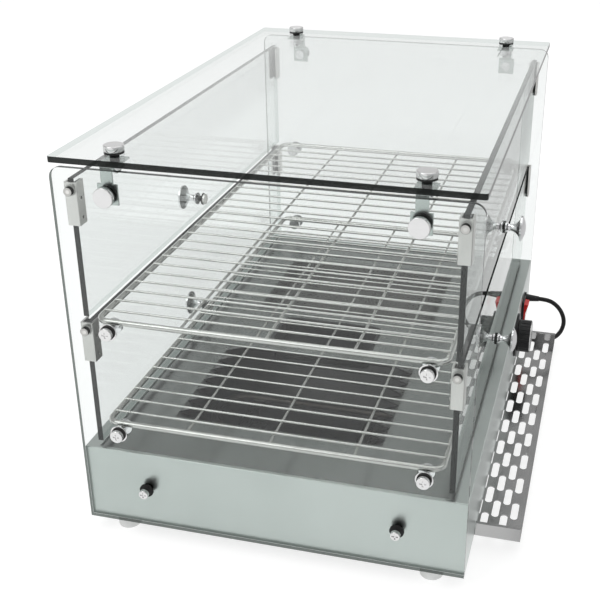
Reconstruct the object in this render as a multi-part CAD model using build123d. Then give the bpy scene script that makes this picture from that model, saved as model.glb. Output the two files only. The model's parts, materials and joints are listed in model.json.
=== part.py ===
from build123d import *
import os
from math import cos, pi, radians, sin, tan

# Countertop heated bakery display case: a stainless base that holds the heaters and controls, a glass
# box on top of it with four flap doors and two wire shelves, and a slotted tray along the right side.

# ---------------------------------------------------------------- driving dimensions, millimetres
# Everything is laid out about the case: X across it, Y along it, Z = 0 at the underside of the base.
CASE_WIDTH = 400.0
CASE_LENGTH = 608.0
BASE_HEIGHT = 85.0
FOOT_HEIGHT = 16.0
SHEET = 1.5                      # stainless sheet of the base
END_GLASS = 5.0                  # thickness of the two end panels
END_GLASS_TOP = 389.0
TOP_GLASS = 6.0
TOP_GLASS_UNDERSIDE = 392.6
TOP_GLASS_WIDTH = 401.0
LEDGE = 15.0                     # deck strip left outside the doors
FLOOR_TOP = 83.0                 # heated floor, a small step under the deck

HALF_W = CASE_WIDTH / 2
HALF_L = CASE_LENGTH / 2
ENDS = (-1, 1)                   # near end, far end
SIDES = (-1, 1)                  # left side, right side
STANDING = (Align.CENTER, Align.CENTER, Align.MIN)

# louvred floor: two banks of twisted slats that open away from the middle
LOUVRE_X0, LOUVRE_X1 = -134.0, 98.0
LOUVRE_RAMP = 23.0
LOUVRE_PITCH = 24.25
LOUVRE_SLITS = 7
LOUVRE_FIRST = 213.0             # outermost slit, from the middle of the case
LOUVRE_LIFT = 7.5
SLIT_GAP = 0.5

# lift-out humidity pan in the middle of the floor
PAN_X, PAN_Y = -26.0, 2.0
PAN_WIDTH, PAN_LENGTH, PAN_DEPTH = 124.0, 68.0, 22.0
PAN_CORNER = 10.0
PAN_RIM = 3.5
PAN_SHEET = 1.0

# doors: glass flaps that hang from pins through the end glass
DOOR_PLANE = 183.0
DOOR_GLASS = 6.0
DOOR_HALF_LENGTH = 300.5
DOOR_LEVELS = {"upper": (235.0, 376.0, 365.5), "lower": (92.0, 227.0, 221.5)}   # bottom, top, pivot
CLIP_HALF_WIDTH = 6.4
CLIP_WALL = 2.0
CLIP_GAP = 0.8                   # clip face to end glass
CLIP_DEPTH = 14.5
CLIP_ABOVE_PIN, CLIP_BELOW_PIN = 7.5, 35.0
SET_SCREW_BALL, SET_SCREW_SINK = 3.2, 1.5    # domed head: ball radius and its centre below the face
PIN_R = 2.0
BUSH_BORE_R = 2.06
BUSH_R = 4.0
RUNNING = 0.06

# door knobs: trumpet shape with a shallow domed face
KNOB_ABOVE_DOOR_EDGE = 16.0
KNOB_R = 14.5
KNOB_LENGTH = 23.0
KNOB_WASHER = 1.5

# corner connectors that tie the top glass to the end glass
CONNECTOR_X = 145.0
CONNECTOR_Z = 365.0
CONNECTOR_INSET = 20.0
CAP_R = 9.7
TOP_CAP, END_CAP = 5.8, 4.6      # thickness
CAP_WASHER_R = 9.4
CAP_WASHER = 2.0
BRACKET = 2.0
BRACKET_STRAP = 11.8
BRACKET_PLATE = 20.0
STUD_R = 3.0
STUD_HOLE_R = 3.3
GLASS_HOLE_R = 4.5

# wire shelves and the pegs that carry them
PEG_X = 157.0
PEG_LEVELS = {"upper": 225.0, "lower": 109.5}
PEG_POST_R, PEG_POST = 3.5, 8.0
PEG_DISC_R, PEG_DISC = 8.0, 4.0
PEG_CAP_R, PEG_CAP = 6.7, 5.0
PEG_FLANGE_R, PEG_FLANGE = 9.0, 1.0
PEG_WASHER_R, PEG_WASHER = 7.4, 1.6
RIM_R = 3.0
RIM_GAP = 0.35                   # rim above the posts
RIM_HALF_WIDTH = 172.5
RIM_HALF_LENGTH = 300.0
RIM_CORNER = 11.0
CROSS_WIRE_R = 1.2
CROSS_PITCH = 23.6
CROSS_COUNT = 25
LONG_WIRE_R = 1.4
LONG_WIRES_X = (-86.0, 0.0, 86.0)

# bolts that hold the end glass to the base
BASE_BOLT_X, BASE_BOLT_Z = 132.0, 45.0
BASE_BOLT_STEM_R, BASE_BOLT_STEM = 3.4, 4.5
BASE_BOLT_CAP_R, BASE_BOLT_CAP = 5.0, 4.0

FOOT_X, FOOT_Y, FOOT_R = 165.0, 290.0, 12.0

# perforated side tray, hooked under the right side of the base
TRAY_EDGE = 247.2
TRAY_INNER = 172.0
TRAY_Y0, TRAY_Y1 = -237.0, 218.0
TRAY_SHEET = 1.2
TRAY_WALL = 14.0
TRAY_HEM = 4.0
SLOT_WIDTH, SLOT_LENGTH = 7.6, 30.0
SLOT_COLUMNS_X = (197.0, 206.4, 216.4, 226.4, 236.4)
SLOT_PITCH = 48.2
SLOT_ROWS = 9
SLOT_FIRST_Y = (-187.4, -211.5)  # even columns, odd columns

# controls on the right side of the base
DIAL_Y, DIAL_Z = 121.0, 54.0
DIAL_BEZEL_R, DIAL_BEZEL = 28.5, 3.0
DIAL_KNOB_R, DIAL_KNOB = 21.0, 15.5
DIAL_GAP = 0.5
DIAL_FACE = 1.0
SPINDLE_R = 3.0
SWITCH_Y, SWITCH_Z = 199.0, 54.0
SWITCH_BEZEL_W, SWITCH_BEZEL_H, SWITCH_BEZEL = 24.0, 33.0, 3.0
SWITCH_WELL_W, SWITCH_WELL_H = 19.6, 28.0
ROCKER_W, ROCKER_H, ROCKER_OUT = 18.6, 25.2, 7.0
ROCKER_PIN_R, ROCKER_PIN = 1.2, 21.2
ROCKER_TILT = 8.0
GLAND_Y, GLAND_Z = 224.0, 61.5
GLAND_LENGTH = 20.0

# mains lead
CORD_R = 3.0
CORD_Z = CORD_R - FOOT_HEIGHT    # centre of the lead where it lies on the worktop
CORD_ROUTE = [
    (220, 224, 61.5), (233, 224, 61.5), (245, 224.8, 54.5), (253.5, 226, 43), (257.5, 227.5, 29),
    (255.5, 229.5, 15), (249.5, 233.5, 2.5), (240, 239, -7.5), (228, 246, CORD_Z), (215, 254, CORD_Z),
    (203, 264.5, CORD_Z), (194.5, 279, CORD_Z), (189.7, 298, CORD_Z), (187.3, 318, CORD_Z),
    (183.6, 337.2, CORD_Z), (177.4, 355.2, CORD_Z), (169, 371.7, CORD_Z), (159.2, 386.8, CORD_Z),
    (149.2, 400.5, CORD_Z), (140.3, 413.8, CORD_Z),
]
COIL_X, COIL_Y = 105.5, 390.3
COIL_R, COIL_HALF_WIDTH, COIL_HEIGHT = 36.0, 9.0, 12.0
PLUG_X, PLUG_Y = 91.0, 432.3     # where the lead enters the plug
PLUG_BODY, PLUG_WIDTH, PLUG_HEIGHT = 32.0, 26.0, 17.0
PLUG_RELIEF = 24.0

# The case sits off-centre so that the whole object's box is centred on X = 0.
KNOB_REACH = DOOR_PLANE + DOOR_GLASS / 2 + KNOB_WASHER + KNOB_LENGTH
CASE_X = (KNOB_REACH - TRAY_EDGE) / 2


# ---------------------------------------------------------------- small helpers
def block(x0, x1, y0, y1, z0, z1):
    """A box given by its corners."""
    return Pos((x0 + x1) / 2, (y0 + y1) / 2, (z0 + z1) / 2) * Box(x1 - x0, y1 - y0, z1 - z0)


def rod_x(radius, x0, x1, y, z):
    """A cylinder along X."""
    return Pos((x0 + x1) / 2, y, z) * Rot(0, 90, 0) * Cylinder(radius, abs(x1 - x0))


def rod_y(radius, y0, y1, x, z):
    """A cylinder along Y."""
    return Pos(x, (y0 + y1) / 2, z) * Rot(90, 0, 0) * Cylinder(radius, abs(y1 - y0))


def rod_z(radius, z0, z1, x, y):
    """A cylinder along Z."""
    return Pos(x, y, (z0 + z1) / 2) * Cylinder(radius, abs(z1 - z0))


def span(start, length, way):
    """Ends, low first, of a stretch that runs from start by length in the direction way."""
    return tuple(sorted((start, start + way * length)))


def tube_along(points, radius, radii):
    """A round tube along straight runs joined by tangent arcs."""
    path = FilletPolyline(*points, radius=radii)
    return sweep(path.location_at(0) * Circle(radius), path=path)


def arc_radii(points):
    """The largest arc that each corner's two runs leave room for."""
    radii = []
    for before, here, after in zip(points, points[1:], points[2:]):
        run_in = Vector(*here) - Vector(*before)
        run_out = Vector(*after) - Vector(*here)
        half_turn = radians(run_in.get_angle(run_out)) / 2
        radii.append(0.45 * min(run_in.length, run_out.length) / tan(half_turn))
    return radii


def on_case(shape):
    """One solid, or a group of them, moved from the case's own layout to the row frame."""
    shapes = shape if isinstance(shape, list) else [shape]
    return Compound([Pos(CASE_X, 0, FOOT_HEIGHT) * solid for item in shapes for solid in item.solids()])


# ---------------------------------------------------------------- base
def base_shell():
    """Folded stainless casing with a stepped deck, open below."""
    shell = block(-HALF_W, HALF_W, -HALF_L, HALF_L, 0, BASE_HEIGHT)
    shell = fillet(shell.edges().group_by(Axis.Z)[-1], 1.0)
    inner_w, inner_l = HALF_W - SHEET, HALF_L - SHEET
    shell -= block(-inner_w, inner_w, -inner_l, inner_l, SHEET, BASE_HEIGHT - SHEET)
    flange = 12.0
    shell -= block(flange - HALF_W, HALF_W - flange, flange - HALF_L, HALF_L - flange, 0, SHEET)
    step_w, step_l = HALF_W - LEDGE, HALF_L - 4
    seat = FLOOR_TOP - SHEET
    step = block(-step_w - SHEET, step_w + SHEET, -step_l - SHEET, step_l + SHEET, seat - SHEET, BASE_HEIGHT)
    shell = shell + step
    shell -= block(-step_w, step_w, -step_l, step_l, seat, BASE_HEIGHT)
    shell -= block(7 - step_w, step_w - 7, 7 - step_l, step_l - 7, seat - SHEET, seat)
    for side in SIDES:
        shell -= rod_y(STUD_HOLE_R, -HALF_L, HALF_L, side * BASE_BOLT_X, BASE_BOLT_Z)
    shell -= rod_x(5.0, inner_w - 1, HALF_W + 1, DIAL_Y, DIAL_Z)
    shell -= rod_x(6.1, inner_w - 1, HALF_W + 1, GLAND_Y, GLAND_Z)
    well = block(inner_w - 1, HALF_W + 1, -SWITCH_WELL_W / 2 - 1.2, SWITCH_WELL_W / 2 + 1.2,
                 -SWITCH_WELL_H / 2 - 1.2, SWITCH_WELL_H / 2 + 1.2)
    return shell - Pos(0, SWITCH_Y, SWITCH_Z) * well


def bottom_plate():
    """Flat cover on the shell's bottom flange, drilled for the feet and for the tray's screws."""
    edge = SHEET + 0.3
    plate = block(edge - HALF_W, HALF_W - edge, edge - HALF_L, HALF_L - edge, SHEET, 2 * SHEET)
    for x, y in foot_places() + tray_screw_places():
        plate -= rod_z(2.1, 0, 2 * SHEET + 1, x, y)
    return plate


def slat(points_front_to_back):
    """One louvre strip, flat at both ends and pressed to the given YZ outline between."""
    sections = []
    stations = ((LOUVRE_X0 - 1, 0), (LOUVRE_X0, 0), (LOUVRE_X0 + LOUVRE_RAMP, 1),
                (LOUVRE_X1 - LOUVRE_RAMP, 1), (LOUVRE_X1, 0), (LOUVRE_X1 + 1, 0))
    for x, press in stations:
        upper = [Vector(x, y, FLOOR_TOP + press * lift) for y, lift in points_front_to_back]
        lower = [point - Vector(0, 0, SHEET) for point in reversed(upper)]
        sections.append(Wire.make_polygon(upper + lower, close=True))
    return Solid.make_loft(sections, ruled=True)


def louvre_bank(end):
    """Seven slits and the slats between them; each slat's outer edge is raised, its inner edge sunk."""
    half = LOUVRE_PITCH / 2
    gap = SLIT_GAP / 2
    slits = [LOUVRE_FIRST - LOUVRE_PITCH * i for i in range(LOUVRE_SLITS)]
    strips = [((slits[0] + half, 0), (slits[0] + gap, -LOUVRE_LIFT))]
    for outer, inner in zip(slits, slits[1:]):
        strips.append(((outer - gap, LOUVRE_LIFT), (inner + gap, -LOUVRE_LIFT)))
    strips.append(((slits[-1] - gap, LOUVRE_LIFT), (slits[-1] - half, 0)))
    return [slat([(end * y, lift) for y, lift in strip]) for strip in strips]


def floor_plate():
    """Heated floor: a sheet with two louvre banks and the pan's opening."""
    half_w, half_l = HALF_W - LEDGE - 0.3, HALF_L - 4.3
    plate = block(-half_w, half_w, -half_l, half_l, FLOOR_TOP - SHEET, FLOOR_TOP)
    bank_out = LOUVRE_FIRST + LOUVRE_PITCH / 2 - 0.6
    bank_in = LOUVRE_FIRST - LOUVRE_PITCH * (LOUVRE_SLITS - 0.5) + 0.6
    for end in ENDS:
        y0, y1 = sorted((end * bank_in, end * bank_out))
        plate -= block(LOUVRE_X0, LOUVRE_X1, y0, y1, FLOOR_TOP - SHEET, FLOOR_TOP)
        plate = plate.fuse(*louvre_bank(end))
    opening = RectangleRounded(PAN_WIDTH + 1, PAN_LENGTH + 1, PAN_CORNER)
    return plate - Pos(PAN_X, PAN_Y, FLOOR_TOP - SHEET - 1) * extrude(opening, SHEET + 2)


def water_pan():
    """Shallow lift-out pan whose rim rests on the floor."""
    outer = RectangleRounded(PAN_WIDTH, PAN_LENGTH, PAN_CORNER)
    rim = RectangleRounded(PAN_WIDTH + 2 * PAN_RIM, PAN_LENGTH + 2 * PAN_RIM, PAN_CORNER + PAN_RIM)
    hollow = RectangleRounded(PAN_WIDTH - 2 * PAN_SHEET, PAN_LENGTH - 2 * PAN_SHEET, PAN_CORNER - PAN_SHEET)
    pan = extrude(outer, PAN_DEPTH) + Pos(0, 0, PAN_DEPTH) * extrude(rim, PAN_SHEET)
    pan -= Pos(0, 0, PAN_SHEET) * extrude(hollow, PAN_DEPTH + 1)
    return Pos(PAN_X, PAN_Y, FLOOR_TOP - PAN_DEPTH) * pan


def foot_places():
    return [(side * FOOT_X, end * FOOT_Y) for side in SIDES for end in ENDS]


def feet():
    """Four round feet, each with a short boss up into the base."""
    foot = Pos(0, 0, -FOOT_HEIGHT / 2) * Cylinder(FOOT_R, FOOT_HEIGHT)
    foot = fillet(foot.edges().group_by(Axis.Z)[0], 2.0)
    foot -= rod_z(1.6, -9, 1, 0, 0)
    return [Pos(x, y, 0) * foot for x, y in foot_places()]


def tray_screw_places():
    return [(182.0, y) for y in (-200.0, -10.0, 180.0)]


def base_screws():
    """Screws down into the feet and up through the tray's tongue."""
    screws = []
    for x, y in foot_places():
        screws.append(rod_z(4.0, 2 * SHEET, 2 * SHEET + 2.2, x, y) + rod_z(1.5, -8, 2 * SHEET, x, y))
    for x, y in tray_screw_places():
        head = -TRAY_SHEET - 2.0
        screws.append(rod_z(3.8, head, -TRAY_SHEET, x, y) + rod_z(1.5, -TRAY_SHEET, 8, x, y))
    return screws


def heating_elements():
    """A hairpin tubular heater under each louvre bank."""
    elements = []
    for end in ENDS:
        y = end * 140.0
        hairpin = [(100, y - 36, 45), (-118, y - 36, 45), (-118, y + 36, 45), (100, y + 36, 45)]
        elements.append(tube_along(hairpin, 4.0, 30.0))
    return elements


def element_clamps():
    """Sheet supports that stand on the bottom plate and carry the heaters."""
    stands = []
    for end in ENDS:
        for x in (-80.0, 60.0):
            stand = block(x - 6, x + 6, end * 140 - 46, end * 140 + 46, 2 * SHEET, 41)
            stand -= block(x - 4.5, x + 7, end * 140 - 50, end * 140 + 50, 2 * SHEET + 1.5, 39.5)
            stands.append(stand)
    return stands


def terminal_block():
    """Screw terminals for the heaters, dial and switch."""
    body = block(120, 142, -34, 34, 2 * SHEET, 21)
    for i in range(6):
        body -= rod_z(2.6, 15, 22, 131, -27.5 + 11 * i)
    return body


def control_wiring():
    """Leads from the terminal block to the heaters, the dial and the switch."""
    routes = []
    for end in ENDS:
        for reach, lane, level in ((104, 16.5, 37), (176, 27.5, 30)):
            y, lane_y = end * reach, end * lane
            routes.append([(100.5, y, 45), (116, y, 45), (116, y, level), (131, lane_y, level), (131, lane_y, 21)])
    dial_face, switch_face = 172.0, 178.0
    routes.append([(dial_face, DIAL_Y, 60), (150, DIAL_Y, 60), (131, 5.5, 38), (131, 5.5, 21)])
    routes.append([(switch_face, SWITCH_Y, 50), (156, SWITCH_Y, 50), (146, -5.5, 50), (131, -5.5, 44),
                   (131, -5.5, 21)])
    return [tube_along(route, 1.1, 3.0) for route in routes]


# ---------------------------------------------------------------- glass box
def through_holes(places, radius):
    """Cutters along Y that pass both end panels."""
    return [rod_y(radius, -HALF_L - 20, HALF_L + 20, x, z) for x, z in places]


def end_glass(end):
    """End panel with rounded top corners and its connector, peg, pivot and bolt holes."""
    y0, y1 = span(end * HALF_L, END_GLASS, end)
    panel = block(-HALF_W, HALF_W, y0, y1, 0, END_GLASS_TOP)
    panel = fillet(panel.edges().filter_by(Axis.Y).group_by(Axis.Z)[-1], 11.0)
    studs = [(side * CONNECTOR_X, CONNECTOR_Z) for side in SIDES]
    studs += [(side * PEG_X, z) for side in SIDES for z in PEG_LEVELS.values()]
    studs += [(side * BASE_BOLT_X, BASE_BOLT_Z) for side in SIDES]
    pivots = [(side * DOOR_PLANE, level[2]) for side in SIDES for level in DOOR_LEVELS.values()]
    return panel.cut(*through_holes(studs, GLASS_HOLE_R), *through_holes(pivots, BUSH_R + 0.1))


def top_glass():
    """Top pane, flush with the outside of the end panels."""
    half_w, half_l = TOP_GLASS_WIDTH / 2, HALF_L + END_GLASS
    pane = block(-half_w, half_w, -half_l, half_l, TOP_GLASS_UNDERSIDE, TOP_GLASS_UNDERSIDE + TOP_GLASS)
    pane = fillet(pane.edges().filter_by(Axis.Z), 3.0)
    for side in SIDES:
        for end in ENDS:
            pane -= rod_z(GLASS_HOLE_R, 380, 410, side * CONNECTOR_X, end * (HALF_L - CONNECTOR_INSET))
    return pane


def connector_places():
    return [(side, end) for side in SIDES for end in ENDS]


def corner_bracket(side, end):
    """L-shaped strap with a square plate on each leg."""
    x = side * CONNECTOR_X
    strap, plate = BRACKET_STRAP / 2, BRACKET_PLATE / 2
    y0, y1 = span(end * HALF_L, BRACKET, -end)
    low = CONNECTOR_Z - plate
    leg = block(x - strap, x + strap, y0, y1, low, TOP_GLASS_UNDERSIDE)
    leg += block(x - plate, x + plate, y0, y1, low, CONNECTOR_Z + plate)
    top_y = end * (HALF_L - CONNECTOR_INSET)
    z1 = TOP_GLASS_UNDERSIDE
    arm_y = sorted((end * HALF_L, top_y - end * plate))
    arm = block(x - strap, x + strap, *arm_y, z1 - BRACKET, z1)
    arm += block(x - plate, x + plate, top_y - plate, top_y + plate, z1 - BRACKET, z1)
    hole = rod_y(STUD_HOLE_R, end * (HALF_L - 10), end * (HALF_L + 1), x, CONNECTOR_Z)
    return leg + arm - hole - rod_z(STUD_HOLE_R, z1 - 5, z1 + 1, x, top_y)


def rounded_cap(radius, thickness):
    """A disc standing on Z = 0 with a softened front edge."""
    disc = Pos(0, 0, thickness / 2) * Cylinder(radius, thickness)
    return fillet(disc.edges().group_by(Axis.Z)[-1], 0.8)


def facing(end):
    """A turn that points a part's +Z outwards through the given end panel."""
    return Rot(90, 0, 0) if end < 0 else Rot(-90, 0, 0)


def cap_with_stud(radius, thickness, stud):
    """A cap standing on Z = 0 with its stud below."""
    return rounded_cap(radius, thickness) + rod_z(STUD_R, -stud, 0, 0, 0)


def top_caps():
    """Disc caps on the top glass with studs down through the brackets."""
    stud = CAP_WASHER + TOP_GLASS + BRACKET + 8
    cap = cap_with_stud(CAP_R, TOP_CAP, stud)
    z = TOP_GLASS_UNDERSIDE + TOP_GLASS + CAP_WASHER
    return [Pos(side * CONNECTOR_X, end * (HALF_L - CONNECTOR_INSET), z) * cap for side, end in connector_places()]


def end_caps():
    """Disc caps outside the end glass with studs in through the brackets."""
    stud = CAP_WASHER + END_GLASS + BRACKET + 3
    cap = cap_with_stud(CAP_R, END_CAP, stud)
    y = HALF_L + END_GLASS + CAP_WASHER
    return [Pos(side * CONNECTOR_X, end * y, CONNECTOR_Z) * facing(end) * cap for side, end in connector_places()]


def ring(radius, bore, thickness):
    """A flat washer standing on Z = 0."""
    return Pos(0, 0, thickness / 2) * (Cylinder(radius, thickness) - Cylinder(bore, thickness))


def cap_washers():
    """Rubber washers between the caps and the glass."""
    washer = ring(CAP_WASHER_R, STUD_HOLE_R, CAP_WASHER)
    washers = []
    for side, end in connector_places():
        x = side * CONNECTOR_X
        washers.append(Pos(x, end * (HALF_L - CONNECTOR_INSET), TOP_GLASS_UNDERSIDE + TOP_GLASS) * washer)
        washers.append(Pos(x, end * (HALF_L + END_GLASS), CONNECTOR_Z) * facing(end) * washer)
    return washers


def dome_nut():
    """Acorn nut hanging below Z = 0, bored for the stud."""
    nut = Pos(0, 0, -3) * Cylinder(7.8, 6)
    dome = Pos(0, 0, -6) * Sphere(5.8)
    return nut + dome - rod_z(STUD_R + RUNNING, -9, 1, 0, 0)


def socket_nut():
    """Low round nut with a hexagon socket, standing inwards from Z = 0."""
    nut = Pos(0, 0, -2.5) * Cylinder(6.0, 5)
    socket = Pos(0, 0, -5) * extrude(RegularPolygon(2.6, 6), 1.5)
    return nut - socket - rod_z(STUD_R + RUNNING, -3.4, 1, 0, 0)


def bracket_nuts():
    """Dome nuts under the top arms, socket nuts on the upright legs."""
    nuts = []
    for side, end in connector_places():
        x = side * CONNECTOR_X
        nuts.append(Pos(x, end * (HALF_L - CONNECTOR_INSET), TOP_GLASS_UNDERSIDE - BRACKET) * dome_nut())
        nuts.append(Pos(x, end * (HALF_L - BRACKET), CONNECTOR_Z) * facing(end) * socket_nut())
    return nuts


# ---------------------------------------------------------------- shelves, pegs and base bolts
def peg_places():
    return [(side, end, z) for side in SIDES for end in ENDS for z in PEG_LEVELS.values()]


def shelf_pegs():
    """Posts inside the end glass; each shelf's rim drops between the glass and the disc."""
    out = END_GLASS + PEG_FLANGE + PEG_WASHER + PEG_CAP - 1.5
    peg = rod_z(PEG_POST_R, -PEG_POST, 0, 0, 0) + rod_z(STUD_R, 0, out, 0, 0)
    disc = rod_z(PEG_DISC_R, -PEG_POST - PEG_DISC, -PEG_POST, 0, 0)
    peg += fillet(disc.edges().group_by(Axis.Z)[0], 0.8)
    post_fits_hole = rod_z(GLASS_HOLE_R - 0.4, 0, END_GLASS, 0, 0)
    peg += post_fits_hole
    return [Pos(side * PEG_X, end * HALF_L, z) * facing(end) * peg for side, end, z in peg_places()]


def cross_recess(depth):
    """Cutter for a cross-shaped driver recess, below Z = 0."""
    bar = Box(6.4, 1.4, depth)
    return Pos(0, 0, -depth / 2) * (bar + Rot(0, 0, 90) * bar)


def peg_cap():
    """Steel flange washer and the screw cap over the peg's stud."""
    flange = ring(PEG_FLANGE_R, STUD_HOLE_R, PEG_FLANGE)
    cap = rounded_cap(PEG_CAP_R, PEG_CAP) - Pos(0, 0, PEG_CAP) * cross_recess(1.0)
    cap -= rod_z(STUD_R + RUNNING, -1, PEG_CAP - 1.4, 0, 0)
    return [flange, Pos(0, 0, PEG_FLANGE + PEG_WASHER) * cap]


def peg_caps():
    solids = []
    for side, end, z in peg_places():
        where = Pos(side * PEG_X, end * (HALF_L + END_GLASS), z) * facing(end)
        solids += [where * solid for solid in peg_cap()]
    return solids


def outside_washers():
    """Rubber washers of the shelf pegs and of the base bolts."""
    washers = []
    for side, end, z in peg_places():
        where = Pos(side * PEG_X, end * (HALF_L + END_GLASS + PEG_FLANGE), z) * facing(end)
        washers.append(where * ring(PEG_WASHER_R, STUD_HOLE_R, PEG_WASHER))
    for side, end in connector_places():
        where = Pos(side * BASE_BOLT_X, end * (HALF_L + END_GLASS), BASE_BOLT_Z) * facing(end)
        washers.append(where * ring(PEG_WASHER_R, STUD_HOLE_R, PEG_WASHER))
    return washers


def base_bolts():
    """Stand-off bolts through the end glass into the base, with their nuts inside."""
    start = PEG_WASHER
    bolt = rod_z(BASE_BOLT_STEM_R, start, start + BASE_BOLT_STEM, 0, 0)
    head = rounded_cap(BASE_BOLT_CAP_R, BASE_BOLT_CAP) - Pos(0, 0, BASE_BOLT_CAP) * cross_recess(1.0)
    bolt += Pos(0, 0, start + BASE_BOLT_STEM) * head
    bolt += rod_z(STUD_R, -END_GLASS - SHEET - 8, start, 0, 0)
    nut = Pos(0, 0, -END_GLASS - SHEET - 5) * extrude(RegularPolygon(5.5, 6), 5)
    nut -= rod_z(STUD_R + RUNNING, -30, 0, 0, 0)
    solids = []
    for side, end in connector_places():
        where = Pos(side * BASE_BOLT_X, end * (HALF_L + END_GLASS), BASE_BOLT_Z) * facing(end)
        solids += [where * bolt, where * nut]
    return solids


def wire_shelf(level):
    """Rim rod with cross wires welded on top and three long wires below them."""
    rim_z = PEG_LEVELS[level] + PEG_POST_R + RIM_R + RIM_GAP
    outline = RectangleRounded(2 * RIM_HALF_WIDTH, 2 * RIM_HALF_LENGTH, RIM_CORNER)
    path = Pos(0, 0, rim_z) * outline.wire()
    rim = sweep(path.location_at(0) * Circle(RIM_R), path=path)
    cross_z = rim_z + RIM_R + CROSS_WIRE_R - 0.7
    long_z = cross_z - CROSS_WIRE_R - LONG_WIRE_R + 0.3
    wires = []
    for i in range(CROSS_COUNT):
        y = (i - (CROSS_COUNT - 1) / 2) * CROSS_PITCH
        wires.append(rod_x(CROSS_WIRE_R, -RIM_HALF_WIDTH, RIM_HALF_WIDTH, y, cross_z))
    for x in LONG_WIRES_X:
        wires.append(rod_y(LONG_WIRE_R, -RIM_HALF_LENGTH, RIM_HALF_LENGTH, x, long_z))
    return rim.fuse(*wires)


# ---------------------------------------------------------------- doors
def door_glass(side, level):
    """Clear flap with one hole for its knob."""
    low, high, _ = DOOR_LEVELS[level]
    x0, x1 = side * DOOR_PLANE - DOOR_GLASS / 2, side * DOOR_PLANE + DOOR_GLASS / 2
    pane = block(x0, x1, -DOOR_HALF_LENGTH, DOOR_HALF_LENGTH, low, high)
    return pane - rod_x(STUD_HOLE_R, x0 - 1, x1 + 1, 0, low + KNOB_ABOVE_DOOR_EDGE)


def clip_span(end):
    """Y range of a clip, which stands just inside an end panel."""
    return span(end * (HALF_L - CLIP_GAP), CLIP_DEPTH, -end)


def set_screw_heights(pivot):
    return (pivot - 9.0, pivot - 28.0)


def door_clips(side, level):
    """Two channel clips that grip the ends of the flap."""
    pivot = DOOR_LEVELS[level][2]
    x = side * DOOR_PLANE
    clips = []
    for end in ENDS:
        y0, y1 = clip_span(end)
        z0, z1 = pivot - CLIP_BELOW_PIN, pivot + CLIP_ABOVE_PIN
        clip = block(x - CLIP_HALF_WIDTH, x + CLIP_HALF_WIDTH, y0, y1, z0, z1)
        clip = fillet(clip.edges().filter_by(Axis.Z), 1.2)
        inner = CLIP_HALF_WIDTH - CLIP_WALL
        back = end * (HALF_L - CLIP_GAP - CLIP_WALL)
        c0, c1 = span(back, CLIP_DEPTH, -end)
        clip -= block(x - inner, x + inner, c0, c1, z0 - 1, z1 + 1)
        clip -= rod_y(PIN_R + RUNNING, end * HALF_L, end * (HALF_L - 4), x, pivot)
        for z in set_screw_heights(pivot):
            wall = x - side * CLIP_HALF_WIDTH
            clip -= rod_x(1.6, wall - 3, wall + 3, (y0 + y1) / 2, z)
        clips.append(clip)
    return clips


def door_gaskets(side, level):
    """Rubber liners in the clips and rubber washers at the knob."""
    low, _, pivot = DOOR_LEVELS[level]
    x = side * DOOR_PLANE
    half_glass, inner = DOOR_GLASS / 2, CLIP_HALF_WIDTH - CLIP_WALL
    solids = []
    for end in ENDS:
        y0, y1 = span(end * DOOR_HALF_LENGTH, 10.5, -end)
        top = min(pivot + CLIP_ABOVE_PIN, DOOR_LEVELS[level][1])
        for face in SIDES:
            g0, g1 = sorted((x + face * half_glass, x + face * inner))
            solids.append(block(g0, g1, y0, y1, pivot - CLIP_BELOW_PIN, top))
    knob_z = low + KNOB_ABOVE_DOOR_EDGE
    outer = span(x + side * half_glass, KNOB_WASHER, side)
    inside = span(x - side * half_glass, 1.0, -side)
    for x0, x1 in (outer, inside):
        solids.append(rod_x(7.0, x0, x1, 0, knob_z) - rod_x(STUD_HOLE_R, x0, x1, 0, knob_z))
    return solids


def door_pins(side, level):
    """Pivot pins, set screws and the knob's stud with its low nut."""
    low, _, pivot = DOOR_LEVELS[level]
    x = side * DOOR_PLANE
    solids = []
    for end in ENDS:
        solids.append(rod_y(PIN_R, end * (HALF_L + END_GLASS), end * (HALF_L - CLIP_GAP - CLIP_WALL), x, pivot))
        y0, y1 = clip_span(end)
        wall = x - side * CLIP_HALF_WIDTH
        for z in set_screw_heights(pivot):
            middle = (y0 + y1) / 2
            shank = rod_x(1.5, *span(wall, CLIP_WALL, side), middle, z)
            dome = Pos(wall + side * SET_SCREW_SINK, middle, z) * Sphere(SET_SCREW_BALL)
            head = dome & rod_x(SET_SCREW_BALL, *span(wall, SET_SCREW_BALL, -side), middle, z)
            hex_key = Pos(wall - side * 0.7, middle, z) * Rot(0, -90 * side, 0) * extrude(RegularPolygon(0.9, 6), 3)
            solids.append(shank + (head - hex_key))
    knob_z = low + KNOB_ABOVE_DOOR_EDGE
    glass_in = x - side * DOOR_GLASS / 2
    stud = rod_x(STUD_R, *span(glass_in - side * 1.0, DOOR_GLASS + 1 + KNOB_WASHER, side), 0, knob_z)
    nut = rod_x(6.2, *span(glass_in - side * 1.0, 2.8, -side), 0, knob_z)
    return solids + [stud + nut]


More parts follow.
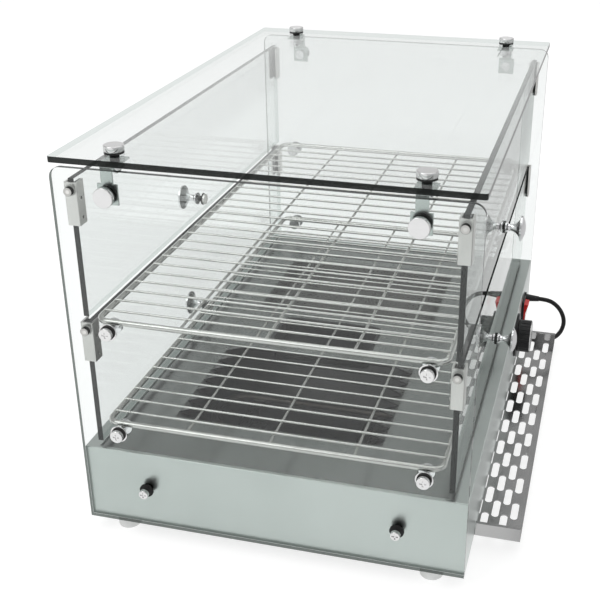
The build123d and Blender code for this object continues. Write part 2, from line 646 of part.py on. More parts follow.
def door_knob(side, level):
    """Trumpet-shaped pull with a shallow domed face."""
    foot_r, neck_r, flare_start, rim, dome = 6.0, 4.2, 3.4, 1.8, 4.2
    rim_end = KNOB_LENGTH - dome
    rim_start = rim_end - rim
    profile = Wire([
        Edge.make_line((0, 0), (0, foot_r)),
        Edge.make_line((0, foot_r), (1.6, foot_r)),
        Edge.make_line((1.6, foot_r), (flare_start, neck_r)),
        Edge.make_three_point_arc((flare_start, neck_r), (rim_start * 0.78, neck_r + 2.6), (rim_start, KNOB_R)),
        Edge.make_line((rim_start, KNOB_R), (rim_end, KNOB_R)),
        Edge.make_line((rim_end, KNOB_R), (rim_end, 0)),
        Edge.make_line((rim_end, 0), (0, 0)),
    ])
    knob = revolve(Face(profile), Axis.X)
    ball_r = (KNOB_R ** 2 + dome ** 2) / (2 * dome)
    front = block(rim_end - 0.5, KNOB_LENGTH + 1, -KNOB_R, KNOB_R, -KNOB_R, KNOB_R)
    knob += Pos(KNOB_LENGTH - ball_r, 0, 0) * Sphere(ball_r) & front & rod_x(KNOB_R, rim_end - 0.5, KNOB_LENGTH, 0, 0)
    glass_out = side * (DOOR_PLANE + DOOR_GLASS / 2 + KNOB_WASHER)
    height = DOOR_LEVELS[level][0] + KNOB_ABOVE_DOOR_EDGE
    turn = Rot(0, 0, 0) if side > 0 else Rot(0, 0, 180)
    return Pos(glass_out, 0, height) * turn * knob


def pivot_bushings():
    """Nylon bushes in the end glass, each with a thin inner flange against the clip."""
    solids = []
    for side in SIDES:
        for end in ENDS:
            for _, _, pivot in DOOR_LEVELS.values():
                bush = rod_z(BUSH_R, 0, END_GLASS, 0, 0) + rod_z(BUSH_R + 1.4, -0.5, 0, 0, 0)
                bush -= rod_z(BUSH_BORE_R, -1, END_GLASS + 1, 0, 0)
                solids.append(Pos(side * DOOR_PLANE, end * HALF_L, pivot) * facing(end) * bush)
    return solids


# ---------------------------------------------------------------- side tray
def side_tray():
    """Slotted shelf with an upturned, hemmed wall at each end and a tongue under the base."""
    tray = block(TRAY_INNER, TRAY_EDGE, TRAY_Y0, TRAY_Y1, -TRAY_SHEET, 0)
    outside = HALF_W + 0.4
    for wall, inward in ((TRAY_Y0, 1), (TRAY_Y1, -1)):
        tray += block(outside, TRAY_EDGE, *span(wall, TRAY_SHEET, inward), -TRAY_SHEET, TRAY_WALL)
        tray += block(outside, TRAY_EDGE, *span(wall, TRAY_HEM, inward), TRAY_WALL - TRAY_SHEET, TRAY_WALL)
    slot = extrude(SlotOverall(SLOT_LENGTH, SLOT_WIDTH, rotation=90), TRAY_SHEET + 2)
    cutters = []
    for column, x in enumerate(SLOT_COLUMNS_X):
        for row in range(SLOT_ROWS):
            y = SLOT_FIRST_Y[column % 2] + row * SLOT_PITCH
            cutters.append(Pos(x, y, -TRAY_SHEET - 1) * slot)
    screw_holes = [rod_z(1.7, -TRAY_SHEET - 1, 1, x, y) for x, y in tray_screw_places()]
    return tray.cut(*cutters, *screw_holes)


# ---------------------------------------------------------------- controls
def dial_bezel():
    """Round escutcheon of the temperature dial."""
    plate = rounded_cap(DIAL_BEZEL_R, DIAL_BEZEL) - Cylinder(6.0, 20)
    return Pos(HALF_W, DIAL_Y, DIAL_Z) * Rot(0, 90, 0) * plate


def thermostat_body():
    """Thermostat housing inside the base with its spindle out through the wall."""
    housing = block(172, HALF_W - SHEET, DIAL_Y - 18, DIAL_Y + 18, DIAL_Z - 18, DIAL_Z + 18)
    return housing + rod_x(SPINDLE_R, HALF_W - SHEET, HALF_W + DIAL_BEZEL + 9, DIAL_Y, DIAL_Z)


def dial_knob():
    """Ribbed temperature knob, bored for the spindle."""
    knob = Pos(0, 0, DIAL_KNOB / 2) * Cylinder(DIAL_KNOB_R, DIAL_KNOB)
    flutes = []
    for i in range(24):
        angle = 2 * pi * i / 24
        reach = DIAL_KNOB_R + 0.6
        flutes.append(rod_z(1.3, 3.0, DIAL_KNOB + 1, reach * cos(angle), reach * sin(angle)))
    knob = knob.cut(*flutes)
    knob -= rod_z(SPINDLE_R + RUNNING, -1, 10, 0, 0)
    return Pos(HALF_W + DIAL_BEZEL + DIAL_GAP, DIAL_Y, DIAL_Z) * Rot(0, 90, 0) * knob


def dial_face():
    """Thin metal disc on the front of the knob."""
    disc = rounded_cap(DIAL_KNOB_R - 1.6, DIAL_FACE)
    x = HALF_W + DIAL_BEZEL + DIAL_GAP + DIAL_KNOB
    return Pos(x, DIAL_Y, DIAL_Z) * Rot(0, 90, 0) * disc


def switch_bezel():
    """Switch frame and body, clipped through the side wall."""
    bezel = block(HALF_W, HALF_W + SWITCH_BEZEL, -SWITCH_BEZEL_W / 2, SWITCH_BEZEL_W / 2,
                  -SWITCH_BEZEL_H / 2, SWITCH_BEZEL_H / 2)
    bezel = fillet(bezel.edges().group_by(Axis.X)[-1], 1.2)
    body = block(178, HALF_W, -SWITCH_WELL_W / 2 - 1, SWITCH_WELL_W / 2 + 1,
                 -SWITCH_WELL_H / 2 - 1, SWITCH_WELL_H / 2 + 1)
    well = block(HALF_W - 8, HALF_W + 5, -SWITCH_WELL_W / 2, SWITCH_WELL_W / 2,
                 -SWITCH_WELL_H / 2, SWITCH_WELL_H / 2)
    well += rod_y(ROCKER_PIN_R + RUNNING, -ROCKER_PIN / 2 - 0.1, ROCKER_PIN / 2 + 0.1, HALF_W, 0)
    return Pos(0, SWITCH_Y, SWITCH_Z) * (bezel + body - well)


def switch_rocker():
    """Rocker button on its pivot pin, resting with its upper end out."""
    half = ROCKER_H / 2
    outline = Polyline((-3, -half), (ROCKER_OUT, -half), (ROCKER_OUT - 1.6, 0), (ROCKER_OUT, half), (-3, half),
                       (-5, 0), close=True)
    button = extrude(Plane.XZ * make_face(outline), ROCKER_W / 2, both=True)
    button += rod_y(ROCKER_PIN_R, -ROCKER_PIN / 2, ROCKER_PIN / 2, 0, 0)
    return Pos(HALF_W, SWITCH_Y, SWITCH_Z) * Rot(0, ROCKER_TILT, 0) * button


def cord_gland():
    """Strain relief: inner nut, flange and a tapered nose."""
    gland = rod_z(6.0, -SHEET - 6, 0, 0, 0) + rod_z(8.0, -SHEET - 6, -SHEET, 0, 0)
    gland += rod_z(7.5, 0, 2.5, 0, 0)
    gland += Pos(0, 0, 2.5) * Cone(5.2, 3.6, GLAND_LENGTH - 2.5, align=STANDING)
    return Pos(HALF_W, GLAND_Y, GLAND_Z) * Rot(0, 90, 0) * gland


# ---------------------------------------------------------------- mains lead
def power_cord():
    """The free stretch of the lead, from the gland to the coil behind the case."""
    radii = arc_radii(CORD_ROUTE)
    print("lead arcs, mm:", [round(radius, 1) for radius in radii])
    cord = tube_along(CORD_ROUTE, CORD_R, radii)
    path = FilletPolyline(*CORD_ROUTE, radius=radii)
    print("lead length, mm:", round(path.length, 1))
    print("tube volume over section times length:", round(cord.volume / (pi * CORD_R ** 2 * path.length), 4))
    return cord


def cord_coil():
    """Outer shape of the spare lead's five turns."""
    outer = Cylinder(COIL_R + COIL_HALF_WIDTH, COIL_HEIGHT)
    coil = outer - Cylinder(COIL_R - COIL_HALF_WIDTH, COIL_HEIGHT)
    return Pos(COIL_X, COIL_Y, COIL_HEIGHT / 2 - FOOT_HEIGHT) * coil


def power_plug():
    """Moulded plug with its short strain relief, lying beside the coil."""
    relief_end = PLUG_X - PLUG_RELIEF
    z = PLUG_HEIGHT / 2 - FOOT_HEIGHT
    body = block(relief_end - PLUG_BODY, relief_end, PLUG_Y - PLUG_WIDTH / 2, PLUG_Y + PLUG_WIDTH / 2,
                 -FOOT_HEIGHT, PLUG_HEIGHT - FOOT_HEIGHT)
    body = fillet(body.edges().filter_by(Axis.X), 5.0)
    relief = Pos(relief_end, PLUG_Y, z) * Rot(0, 90, 0) * Cone(5.5, 3.8, PLUG_RELIEF, align=STANDING)
    return body + relief


def plug_blades():
    """Two flat blades and a round earth pin."""
    face = PLUG_X - PLUG_RELIEF - PLUG_BODY
    z = PLUG_HEIGHT / 2 - FOOT_HEIGHT
    blades = [block(face - 16, face, PLUG_Y + way * 6.35 - 0.75, PLUG_Y + way * 6.35 + 0.75, z - 5, z + 1.3)
              for way in (-1, 1)]
    return blades + [rod_x(2.3, face - 19, face, PLUG_Y, z + 4.6)]


# ---------------------------------------------------------------- export
def all_parts():
    """Every node by name."""
    parts = {
        "base_shell": base_shell(),
        "bottom_plate": bottom_plate(),
        "floor_plate": floor_plate(),
        "water_pan": water_pan(),
        "feet": feet(),
        "base_screws": base_screws(),
        "heating_elements": heating_elements(),
        "element_clamps": element_clamps(),
        "terminal_block": terminal_block(),
        "control_wiring": control_wiring(),
        "end_glass_near": end_glass(-1),
        "end_glass_far": end_glass(1),
        "top_glass": top_glass(),
        "corner_brackets": [corner_bracket(side, end) for side, end in connector_places()],
        "top_caps": top_caps(),
        "end_caps": end_caps(),
        "cap_washers": cap_washers(),
        "bracket_nuts": bracket_nuts(),
        "shelf_pegs": shelf_pegs(),
        "peg_caps": peg_caps(),
        "outside_washers": outside_washers(),
        "base_bolts": base_bolts(),
        "shelf_upper": wire_shelf("upper"),
        "shelf_lower": wire_shelf("lower"),
        "pivot_bushings": pivot_bushings(),
        "side_tray": side_tray(),
        "dial_bezel": dial_bezel(),
        "thermostat_body": thermostat_body(),
        "dial_knob": dial_knob(),
        "dial_face": dial_face(),
        "switch_bezel": switch_bezel(),
        "switch_rocker": switch_rocker(),
        "cord_gland": cord_gland(),
        "power_cord": power_cord(),
        "cord_coil": cord_coil(),
        "power_plug": power_plug(),
        "plug_blades": plug_blades(),
    }
    for side_name, side in (("left", -1), ("right", 1)):
        for level in DOOR_LEVELS:
            door = f"{level}_{side_name}"
            parts[f"door_glass_{door}"] = door_glass(side, level)
            parts[f"door_clips_{door}"] = door_clips(side, level)
            parts[f"door_gaskets_{door}"] = door_gaskets(side, level)
            parts[f"door_pins_{door}"] = door_pins(side, level)
            parts[f"door_knob_{door}"] = door_knob(side, level)
    return parts


def main():
    os.makedirs("parts", exist_ok=True)
    for name, shape in all_parts().items():
        export_step(on_case(shape), f"parts/{name}.step")


main()
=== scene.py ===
import json
from math import cos, pi, radians, sin

import bmesh
import bpy
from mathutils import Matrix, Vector


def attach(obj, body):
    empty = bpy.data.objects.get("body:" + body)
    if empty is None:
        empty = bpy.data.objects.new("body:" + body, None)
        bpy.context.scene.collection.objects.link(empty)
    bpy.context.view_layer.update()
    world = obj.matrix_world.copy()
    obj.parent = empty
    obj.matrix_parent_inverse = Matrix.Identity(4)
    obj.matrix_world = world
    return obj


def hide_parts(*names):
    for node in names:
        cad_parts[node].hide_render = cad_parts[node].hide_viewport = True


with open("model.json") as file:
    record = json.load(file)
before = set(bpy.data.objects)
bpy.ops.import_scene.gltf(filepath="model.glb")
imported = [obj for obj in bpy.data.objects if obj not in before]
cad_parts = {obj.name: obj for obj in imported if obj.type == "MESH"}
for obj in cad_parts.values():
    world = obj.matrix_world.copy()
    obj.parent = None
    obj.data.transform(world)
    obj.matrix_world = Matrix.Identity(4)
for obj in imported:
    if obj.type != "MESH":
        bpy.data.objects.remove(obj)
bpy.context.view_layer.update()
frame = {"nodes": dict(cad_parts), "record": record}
scene = bpy.context.scene

# ---------------------------------------------------------------- where things are
MM = 0.001
CASE_X = -18.35 * MM             # middle of the case across X
LOUVRES = (-134, 98, 55.4, 225.1)   # X range, then distance range from the middle of the case, mm
FOOT = 16 * MM                   # underside of the base above the worktop


def at(x, y, z):
    """A point of the case's own layout, in millimetres, in the row frame."""
    return Vector((CASE_X + x * MM, y * MM, FOOT + z * MM))


# ---------------------------------------------------------------- camera
camera = bpy.data.objects.new("camera", bpy.data.cameras.new("camera"))
scene.collection.objects.link(camera)
camera.data.sensor_width = 36
camera.data.lens = 62.82
camera.data.shift_x = -0.0719
camera.data.clip_start = 0.01
camera.data.clip_end = 60
AZIMUTH, ELEVATION = radians(14.718), radians(25.461)
camera.location = at(291.2, -1121.6, 688.0)
camera.rotation_euler = (pi / 2 - ELEVATION, 0, AZIMUTH)
scene.camera = camera


# ---------------------------------------------------------------- shader kit
class Value:
    """A shader socket that takes part in Python arithmetic."""

    def __init__(self, paint, socket):
        self.paint = paint
        self.socket = socket

    def math(self, operation, *terms):
        return self.paint.node("Math", dict(operation=operation), *terms)

    def __add__(self, other):
        return self.math("ADD", self, other)

    def __sub__(self, other):
        return self.math("SUBTRACT", self, other)

    def __rsub__(self, other):
        return self.math("SUBTRACT", other, self)

    def __mul__(self, other):
        return self.math("MULTIPLY", self, other)

    def __truediv__(self, other):
        return self.math("DIVIDE", self, other)

    def __rtruediv__(self, other):
        return self.math("DIVIDE", other, self)

    def __pow__(self, other):
        return self.math("POWER", self, other)

    __radd__ = __add__
    __rmul__ = __mul__

    def size(self):
        return self.math("ABSOLUTE", self)

    def most(self, other):
        return self.math("MAXIMUM", self, other)

    def step(self, low, high):
        """0 below low, 1 above high, smooth between."""
        return self.paint.node("MapRange", dict(interpolation_type="SMOOTHSTEP"),
                               Value=self, **{"From Min": low, "From Max": high})


class Paint:
    """Nodes of a material, or of the world. Most surfaces are one Principled shader."""

    def __init__(self, owner, output="Material"):
        self.owner = bpy.data.materials.new(owner) if isinstance(owner, str) else owner
        self.owner.use_nodes = True
        self.tree = self.owner.node_tree
        self.tree.nodes.clear()
        self.end = self.tree.nodes.new("ShaderNodeOutput" + output)

    def node(self, kind, settings=None, *terms, output=0, **values):
        """One node: its settings first, then the values or links of its sockets. Returns one output."""
        made = self.tree.nodes.new("ShaderNode" + kind)
        for key, value in (settings or {}).items():
            setattr(made, key, value)
        pairs = list(enumerate(terms)) + list(values.items())
        for key, value in pairs:
            socket = made.inputs[key]
            if isinstance(value, Value):
                self.tree.links.new(value.socket, socket)
            else:
                socket.default_value = value
        return Value(self, made.outputs[output])

    def axes(self):
        """Object coordinates as three values."""
        where = self.node("TexCoord", output="Object")
        return [self.node("SeparateXYZ", None, where, output=i) for i in range(3)]

    def facing(self):
        """The surface normal as three values."""
        normal = self.node("TexCoord", output="Normal")
        return [self.node("SeparateXYZ", None, normal, output=i) for i in range(3)]

    def spread(self, stretch, scale, detail=3.0, roughness=0.55):
        """Noise on object coordinates, stretched by a factor along each axis."""
        where = self.node("TexCoord", output="Object")
        mapped = self.node("Mapping", None, Vector=where, Scale=stretch)
        return self.node("TexNoise", None, Vector=mapped, Scale=scale, Detail=detail, Roughness=roughness)

    def blend(self, factor, first, second):
        """A colour between two colours."""
        made = self.tree.nodes.new("ShaderNodeMix")
        made.data_type = "RGBA"
        for key, value in ((0, factor), (6, first), (7, second)):
            if isinstance(value, Value):
                self.tree.links.new(value.socket, made.inputs[key])
            else:
                made.inputs[key].default_value = (*value, 1) if isinstance(value, tuple) else value
        return Value(self, made.outputs[2])

    def bump(self, height, strength, distance):
        return self.node("Bump", None, Height=height, Strength=strength, Distance=distance)

    def finish(self, shader):
        self.tree.links.new(shader.socket, self.end.inputs["Surface"])

    def surface(self, **values):
        """The Principled shader, wired to the output."""
        self.finish(self.node("BsdfPrincipled", None, **{k.replace("_", " "): v for k, v in values.items()}))


# ---------------------------------------------------------------- finishes
def brushed(name, dark, light, stretch, rough=0.3, grain=0.05, bump=0.004, painted_shade_zone=None):
    """Stainless sheet with a fine straight grain and faint cloudy variation, and painted shade inside an
    optional zone.
    """
    paint = Paint(name)
    fine = paint.spread(stretch, 60, 4)
    cloud = paint.spread((1, 1, 1), 9, 2)
    tone = (fine * 0.2 + cloud * 0.8).step(0.3, 0.7)
    colour = paint.blend(tone, dark, light)
    if painted_shade_zone:
        # painted shade: inside the zone the sheet's colour is darkened to near black
        colour = paint.blend(painted_shade_zone(paint), colour, (0.07, 0.07, 0.068))
    paint.surface(Base_Color=colour, Metallic=1.0,
                  Roughness=(fine - 0.5) * grain + (cloud - 0.5) * 0.08 + rough,
                  Normal=paint.bump(fine, bump, 0.0001))
    return paint.owner


def polished(name, colour, rough=0.07, tint=(0.62, 0.62, 0.63)):
    """Polished plating with faint wipe marks."""
    paint = Paint(name)
    smear = paint.spread((1, 1, 3), 55, 3)
    paint.surface(Base_Color=paint.blend(smear.step(0.35, 0.75) * 0.3, colour, tint), Metallic=1.0,
                  Roughness=smear * 0.06 + rough, Normal=paint.bump(smear, 0.004, 0.0001))
    return paint.owner


def moulded(name, dark, light, rough=0.45, grain=900, bump=0.08, coat=0.0):
    """Moulded plastic or rubber with a fine spark texture."""
    paint = Paint(name)
    pits = paint.spread((1, 1, 1), grain, 2)
    cloud = paint.spread((1, 1, 1), 40, 3)
    paint.surface(Base_Color=paint.blend(cloud.step(0.3, 0.7), dark, light), Coat_Weight=coat,
                  Specular_IOR_Level=0.25, Roughness=(cloud - 0.5) * 0.15 + rough,
                  Normal=paint.bump(pits, bump, 0.0002))
    return paint.owner


GRAZING_MIRROR, SMEAR_MIRROR, FACING_MIRROR = 0.92, 0.012, 0.03   # parts of the light


def pane(name, across, tint=(0.94, 0.95, 0.947), edge=(0.004, 0.006, 0.005),
         depth=(0.72, 0.76, 0.745), sheen=0.12):
    """Clear glass whose broad faces lie across one axis; its polished edges look near black."""
    paint = Paint(name)
    broad = paint.facing()[across].size().step(0.75, 0.95)
    smear = paint.spread((1, 1, 1), 7, 3)
    slant = paint.node("LayerWeight", None, Blend=0.5, output="Facing")
    film = slant ** 5 * GRAZING_MIRROR + smear.step(0.5, 0.85) * SMEAR_MIRROR + FACING_MIRROR
    clear = paint.node("BsdfTransparent", None, Color=(*tint, 1))
    mirror = paint.node("BsdfGlossy", None, Color=(0.95, 0.96, 0.955, 1), Roughness=0.015)
    sheet = paint.node("MixShader", None, film, clear, mirror)
    outside = paint.node("BsdfPrincipled", None, **{"Base Color": (*edge, 1), "Roughness": 0.06,
                                                    "Specular IOR Level": sheen})
    within = paint.node("BsdfTransparent", None, Color=(*depth, 1))
    rim = paint.node("MixShader", None, paint.node("NewGeometry", output="Backfacing"), outside, within)
    whole = paint.node("MixShader", None, broad * 0.97 + 0.03, rim, sheet)   # never a pure rim
    paint.finish(whole)
    return paint.owner


FLOOR_GLOW = 0.74
SHADED_FROM = (0.19, 0.26)           # metres across, where the floor turns grey in reflections


def studio_floor():
    """Pale floor that glows a little. Beside the tray it is grey to everything but the camera."""
    paint = Paint("studio_floor")
    cloud = paint.spread((1, 1, 1), 3, 2)
    shaded = paint.axes()[0].step(*SHADED_FROM) * (1 - paint.node("LightPath", output="Is Camera Ray"))
    glow = paint.blend(shaded, (1, 1, 1), (0.35, 0.35, 0.35))
    paint.surface(Base_Color=paint.blend(cloud, (0.36, 0.36, 0.36), (0.38, 0.38, 0.38)), Roughness=0.8,
                  Emission_Color=glow, Emission_Strength=FLOOR_GLOW)
    return paint.owner


PULL_REACH = 0.2                     # metres from the middle of the case to a pull


def knob_plate():
    """Plating of the pulls: bright on the face, with painted shade darkening the back of the bell, which
    faces the case.
    """
    paint = Paint("knob_plate")
    outward = paint.facing()[0] * (paint.axes()[0] - CASE_X) / PULL_REACH
    smear = paint.spread((1, 1, 3), 55, 3)
    # painted shade: faces turned towards the case are coloured dark grey
    painted_back_shade = (outward * -1).step(0.45, 0.8)
    paint.surface(Base_Color=paint.blend(painted_back_shade, (0.80, 0.80, 0.81), (0.13, 0.13, 0.13)), Metallic=1.0,
                  Roughness=smear * 0.06 + 0.08, Normal=paint.bump(smear, 0.004, 0.0001))
    return paint.owner


def louvre_bank_shade(paint):
    """Mask of painted shade: 1 inside either bank of slats, where the sheet is in the shade of the base."""
    across, along, _ = paint.axes()
    middle_x, half_x = CASE_X + (LOUVRES[0] + LOUVRES[1]) / 2 * MM, (LOUVRES[1] - LOUVRES[0]) / 2 * MM
    middle_y, half_y = (LOUVRES[2] + LOUVRES[3]) / 2 * MM, (LOUVRES[3] - LOUVRES[2]) / 2 * MM
    inside_x = 1 - ((across - middle_x).size() - half_x).step(-MM, 0)
    inside_y = 1 - ((along.size() - middle_y).size() - half_y).step(-MM, 0)
    return inside_x * inside_y


steel_y = brushed("steel_grain_along", (0.42, 0.43, 0.43), (0.62, 0.63, 0.63), (40, 1, 40), 0.2)
steel_under = brushed("steel_under", (0.10, 0.10, 0.10), (0.16, 0.16, 0.16), (20, 1, 20), 0.4, 0.05, 0.0)
steel_base = brushed("steel_base", (0.54, 0.585, 0.565), (0.60, 0.645, 0.625), (1, 1, 20), 0.32, 0.03, 0.0)
# the floor sheet carries painted shade over both banks of louvres
steel_floor = brushed("steel_floor", (0.31, 0.33, 0.32), (0.36, 0.38, 0.37), (1, 1, 1), 0.24, 0.0, 0.0,
                      louvre_bank_shade)
steel_tray = brushed("steel_tray", (0.38, 0.38, 0.38), (0.58, 0.58, 0.58), (40, 1, 40), 0.16)
satin = brushed("satin_steel", (0.62, 0.62, 0.60), (0.80, 0.79, 0.77), (8, 8, 1), 0.34, 0.12)
chrome = polished("chrome_plate", (0.86, 0.86, 0.87))
cap_steel = polished("cap_steel", (0.70, 0.70, 0.70), 0.12, (0.62, 0.62, 0.62))
strap_steel = brushed("strap_steel", (0.46, 0.51, 0.49), (0.52, 0.57, 0.55), (1, 1, 8), 0.25, 0.04, 0.0)
wire = polished("shelf_wire", (0.60, 0.60, 0.58), 0.12, (0.48, 0.48, 0.46))
# the water pan is coloured near black all over
dark_enamel = moulded("dark_enamel", (0.012, 0.012, 0.012), (0.03, 0.03, 0.03), 0.35, 500, 0.05)
rubber = moulded("black_rubber", (0.012, 0.012, 0.012), (0.025, 0.025, 0.025), 0.6)
black = moulded("black_plastic", (0.012, 0.012, 0.013), (0.022, 0.022, 0.023), 0.38)
lead_cover = moulded("lead_cover", (0.006, 0.006, 0.006), (0.014, 0.014, 0.014), 0.35)
nylon = moulded("pale_nylon", (0.50, 0.50, 0.48), (0.58, 0.58, 0.56), 0.5)
red = moulded("red_plastic", (0.55, 0.012, 0.01), (0.72, 0.02, 0.015), 0.22, 300, 0.02, 0.5)
foot_grey = moulded("foot_rubber", (0.66, 0.67, 0.66), (0.78, 0.79, 0.78), 0.55)
dial_metal = brushed("dial_metal", (0.66, 0.66, 0.66), (0.84, 0.84, 0.84), (1, 1, 1), 0.25)
brass = polished("blade_brass", (0.75, 0.58, 0.28), 0.2, (0.6, 0.45, 0.2))
heater = brushed("heater_sheath", (0.12, 0.10, 0.09), (0.22, 0.2, 0.18), (1, 1, 1), 0.4)
sleeve = moulded("wire_sleeve", (0.5, 0.48, 0.42), (0.66, 0.64, 0.58), 0.7)
glass_across_x = pane("glass_doors", 0)
glass_across_y = pane("glass_ends", 1, depth=(0.16, 0.18, 0.17), sheen=0.45)
glass_across_z = pane("glass_top", 2)
GLASSES = [glass_across_x, glass_across_y, glass_across_z]

FINISHES = {
    "base_shell": steel_base, "bottom_plate": steel_under, "floor_plate": steel_floor,
    "water_pan": dark_enamel,
    "feet": foot_grey, "base_screws": chrome, "heating_elements": heater, "element_clamps": steel_y,
    "terminal_block": nylon, "control_wiring": sleeve, "end_glass_near": glass_across_y,
    "end_glass_far": glass_across_y, "top_glass": glass_across_z, "corner_brackets": strap_steel,
    "top_caps": cap_steel, "end_caps": cap_steel, "cap_washers": rubber, "bracket_nuts": chrome,
    "shelf_pegs": chrome, "peg_caps": cap_steel, "outside_washers": rubber, "base_bolts": cap_steel,
    "shelf_upper": wire, "shelf_lower": wire, "pivot_bushings": nylon, "side_tray": steel_tray,
    "dial_bezel": black, "thermostat_body": black, "dial_knob": black, "dial_face": dial_metal,
    "switch_bezel": black, "switch_rocker": red, "cord_gland": black, "power_cord": lead_cover,
    "cord_coil": lead_cover, "power_plug": black, "plug_blades": brass,
}
DOOR_FINISHES = {"door_glass": glass_across_x, "door_clips": satin, "door_gaskets": rubber,
                 "door_pins": satin, "door_knob": knob_plate()}
BODIES = {node: body for body, nodes in frame["record"]["behaviour"]["bodies"].items() for node in nodes}
CREASE = radians(32)
FLAT_AREA = 40 * MM * MM             # larger and wider faces than this are flat sheet
FLAT_WIDTH = 1 * MM
HAIR = 0.08 * MM
WELD = 0.002 * MM
FLATNESS = radians(0.5)


def stand_for(piece, *nodes):
    """A new piece that rides with the CAD nodes it stands for, which are hidden."""
    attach(piece, BODIES[nodes[0]])
    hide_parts(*nodes)


def clear_of_neighbours(shape, across):
    """Thins a pane by a hair, so that its faces don't touch what is clamped to it."""
    places = [v.co[across] for v in shape.verts]
    middle, half = (min(places) + max(places)) / 2, (max(places) - min(places)) / 2
    for v in shape.verts:
        v.co[across] = middle + (v.co[across] - middle) * (half - HAIR) / half


def refined(name, finish, softening, segments=2):
    """A welded copy of a CAD node with crisp creases and softened outer edges."""
    shape = bmesh.new()
    shape.from_mesh(frame["nodes"][name].data)
    if finish in GLASSES:
        clear_of_neighbours(shape, GLASSES.index(finish))
    bmesh.ops.remove_doubles(shape, verts=shape.verts, dist=WELD)
    bmesh.ops.dissolve_limit(shape, angle_limit=FLATNESS, verts=shape.verts, edges=shape.edges)
    bmesh.ops.recalc_face_normals(shape, faces=shape.faces)
    if softening:
        creased = [e for e in shape.edges if len(e.link_faces) == 2 and e.calc_face_angle() > CREASE]
        bmesh.ops.bevel(shape, geom=creased, offset=softening * MM, segments=segments, profile=0.5,
                        affect="EDGES", clamp_overlap=True, material=-1)
    rounded = [f.calc_area() < FLAT_AREA or 2 * f.calc_area() / f.calc_perimeter() < FLAT_WIDTH
               for f in shape.faces]
    data = bpy.data.meshes.new(name + "_skin")
    shape.to_mesh(data)
    shape.free()
    if "custom_normal" in data.attributes:
        data.attributes.remove(data.attributes["custom_normal"])
    data.set_sharp_from_angle(angle=CREASE)
    data.polygons.foreach_set("use_smooth", rounded)
    piece = bpy.data.objects.new(name + "_skin", data)
    scene.collection.objects.link(piece)
    data.materials.append(finish)
    stand_for(piece, name)
    return piece


SOFTENED = {
    "base_shell": 0.5, "end_glass_near": 0.5, "end_glass_far": 0.5, "top_glass": 0.7, "side_tray": 0.25,
    "corner_brackets": 0.2, "top_caps": 0.5, "end_caps": 0.5, "peg_caps": 0.3, "door_glass": 0.5,
    "door_clips": 0.45, "dial_knob": 0.0, "switch_bezel": 0.3, "switch_rocker": 0.3, "floor_plate": 0.0,
    "water_pan": 0.0,
}
for name, node in frame["nodes"].items():
    kind = "_".join(name.split("_")[:2])
    key = kind if kind in DOOR_FINISHES else name
    finish = {**FINISHES, **DOOR_FINISHES}[key]
    if key in SOFTENED:
        refined(name, finish, SOFTENED[key])
        continue
    node.data.materials.clear()
    node.data.materials.append(finish)

# ---------------------------------------------------------------- mains lead
LEAD_LENGTH, LEAD_WIDTH = 1.45, 6 * MM
ROUTE = [
    (220, 224, 61.5), (233, 224, 61.5), (245, 224.8, 54.5), (253.5, 226, 43), (257.5, 227.5, 29),
    (255.5, 229.5, 15), (249.5, 233.5, 2.5), (240, 239, -7.5), (228, 246, -13), (215, 254, -13),
    (203, 264.5, -13), (194.5, 279, -13), (189.7, 298, -13), (187.3, 318, -13),
    (183.6, 337.2, -13), (177.4, 355.2, -13), (169, 371.7, -13), (159.2, 386.8, -13),
    (149.2, 400.5, -13), (140.3, 413.8, -13),
]
COIL_MIDDLE = (105.5, 390.3)
COIL_START = 34                                # degrees
COIL_TURNS = [(42, -13), (36, -13), (30, -13), (30, -7), (36, -7), (42, -7)]   # radius and height, mm
LAST_TURN = 56                                 # degrees
STEP_OVER = 60                                 # degrees at the end of a turn
COIL_PITCH = 20                                # degrees between points
PLUG_RUN = [(98, 432.3, -7.2), (89, 432.3, -7.5)]


def coil_points():
    """Spare turns, wound inwards on the worktop and outwards on top of themselves."""
    points = []
    last = 360 * (len(COIL_TURNS) - 1) + LAST_TURN
    for wound in range(COIL_PITCH, last + 1, COIL_PITCH):
        turn, along = divmod(wound, 360)
        share = max(0, (along - 360 + STEP_OVER) / STEP_OVER)
        share = share * share * (3 - 2 * share)
        here, after = COIL_TURNS[turn], COIL_TURNS[min(turn + 1, len(COIL_TURNS) - 1)]
        radius, height = (a + (b - a) * share for a, b in zip(here, after))
        angle = radians(COIL_START + wound)
        points.append((COIL_MIDDLE[0] + radius * cos(angle), COIL_MIDDLE[1] + radius * sin(angle), height))
    return points


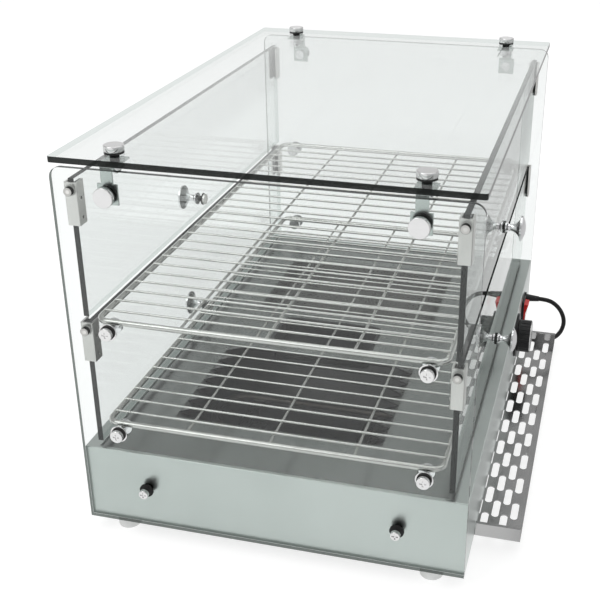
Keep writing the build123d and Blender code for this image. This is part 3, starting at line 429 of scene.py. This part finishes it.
def mains_lead():
    """One smooth lead from the gland down to the worktop, along it, round its coil and into the plug."""
    line = bpy.data.curves.new("mains_lead", "CURVE")
    line.dimensions = "3D"
    spline = line.splines.new("NURBS")
    route = ROUTE + coil_points() + PLUG_RUN
    spline.points.add(len(route) - 1)
    for point, place in zip(spline.points, route):
        point.co = (*at(*place), 1)
    spline.order_u = 3
    spline.use_endpoint_u = True
    spline.resolution_u = 8
    line.bevel_depth = LEAD_WIDTH / 2
    line.bevel_resolution = 4
    line.use_fill_caps = True
    line.materials.append(lead_cover)
    lead = bpy.data.objects.new("mains_lead", line)
    scene.collection.objects.link(lead)
    stand_for(lead, "power_cord", "cord_coil")
    tuple(at(*ROUTE[0]))


mains_lead()

# ---------------------------------------------------------------- stage
FLOOR_HALF = 12                      # metres
floor_mesh = bmesh.new()
bmesh.ops.create_grid(floor_mesh, x_segments=1, y_segments=1, size=FLOOR_HALF)
floor_data = bpy.data.meshes.new("studio_floor")
floor_mesh.to_mesh(floor_data)
floor_mesh.free()
floor = bpy.data.objects.new("studio_floor", floor_data)
scene.collection.objects.link(floor)
floor.data.materials.append(studio_floor())


def area_light(name, place, aim, size, power):
    lamp = bpy.data.lights.new(name, "AREA")
    lamp.shape = "RECTANGLE"
    lamp.size, lamp.size_y = size
    lamp.energy = power
    holder = bpy.data.objects.new(name, lamp)
    holder.location = place
    holder.rotation_euler = (Vector(aim) - Vector(place)).to_track_quat("-Z", "Y").to_euler()
    scene.collection.objects.link(holder)


LIT_POINT, LIGHT_POWER = (0, 0, 0.2), 18   # metres, watts
area_light("key", (-1.2, -1.4, 2.2), LIT_POINT, (1.6, 1.6), LIGHT_POWER)
area_light("top", (0.2, 0.4, 2.4), LIT_POINT, (2.4, 2.4), LIGHT_POWER)


SKY_GREY = 0.45
HORIZON_FADE, HORIZON_EXTRA = (0.27, 0.4), 0.45   # upward part of the direction; added brightness
ZENITH_FADE, ZENITH_EXTRA = (0.5, 0.95), 0.25


def studio_world():
    """White to the camera. In reflections white low down and grey above, so metal shows its shape."""
    world = bpy.data.worlds.new("studio")
    scene.world = world
    paint = Paint(world, "World")
    up = paint.node("SeparateXYZ", None, paint.node("TexCoord", output="Generated"), output=2)
    horizon = 1 - up.step(*HORIZON_FADE)
    grey = horizon * HORIZON_EXTRA + SKY_GREY + up.step(*ZENITH_FADE) * ZENITH_EXTRA
    seen = paint.node("LightPath", output="Is Camera Ray")
    paint.finish(paint.node("Background", None, Color=(1, 1, 1, 1), Strength=grey.most(seen)))


studio_world()
scene.view_settings.view_transform = "Standard"
scene.cycles.transparent_max_bounces = 48
scene.cycles.max_bounces = 16
scene.cycles.glossy_bounces = 6
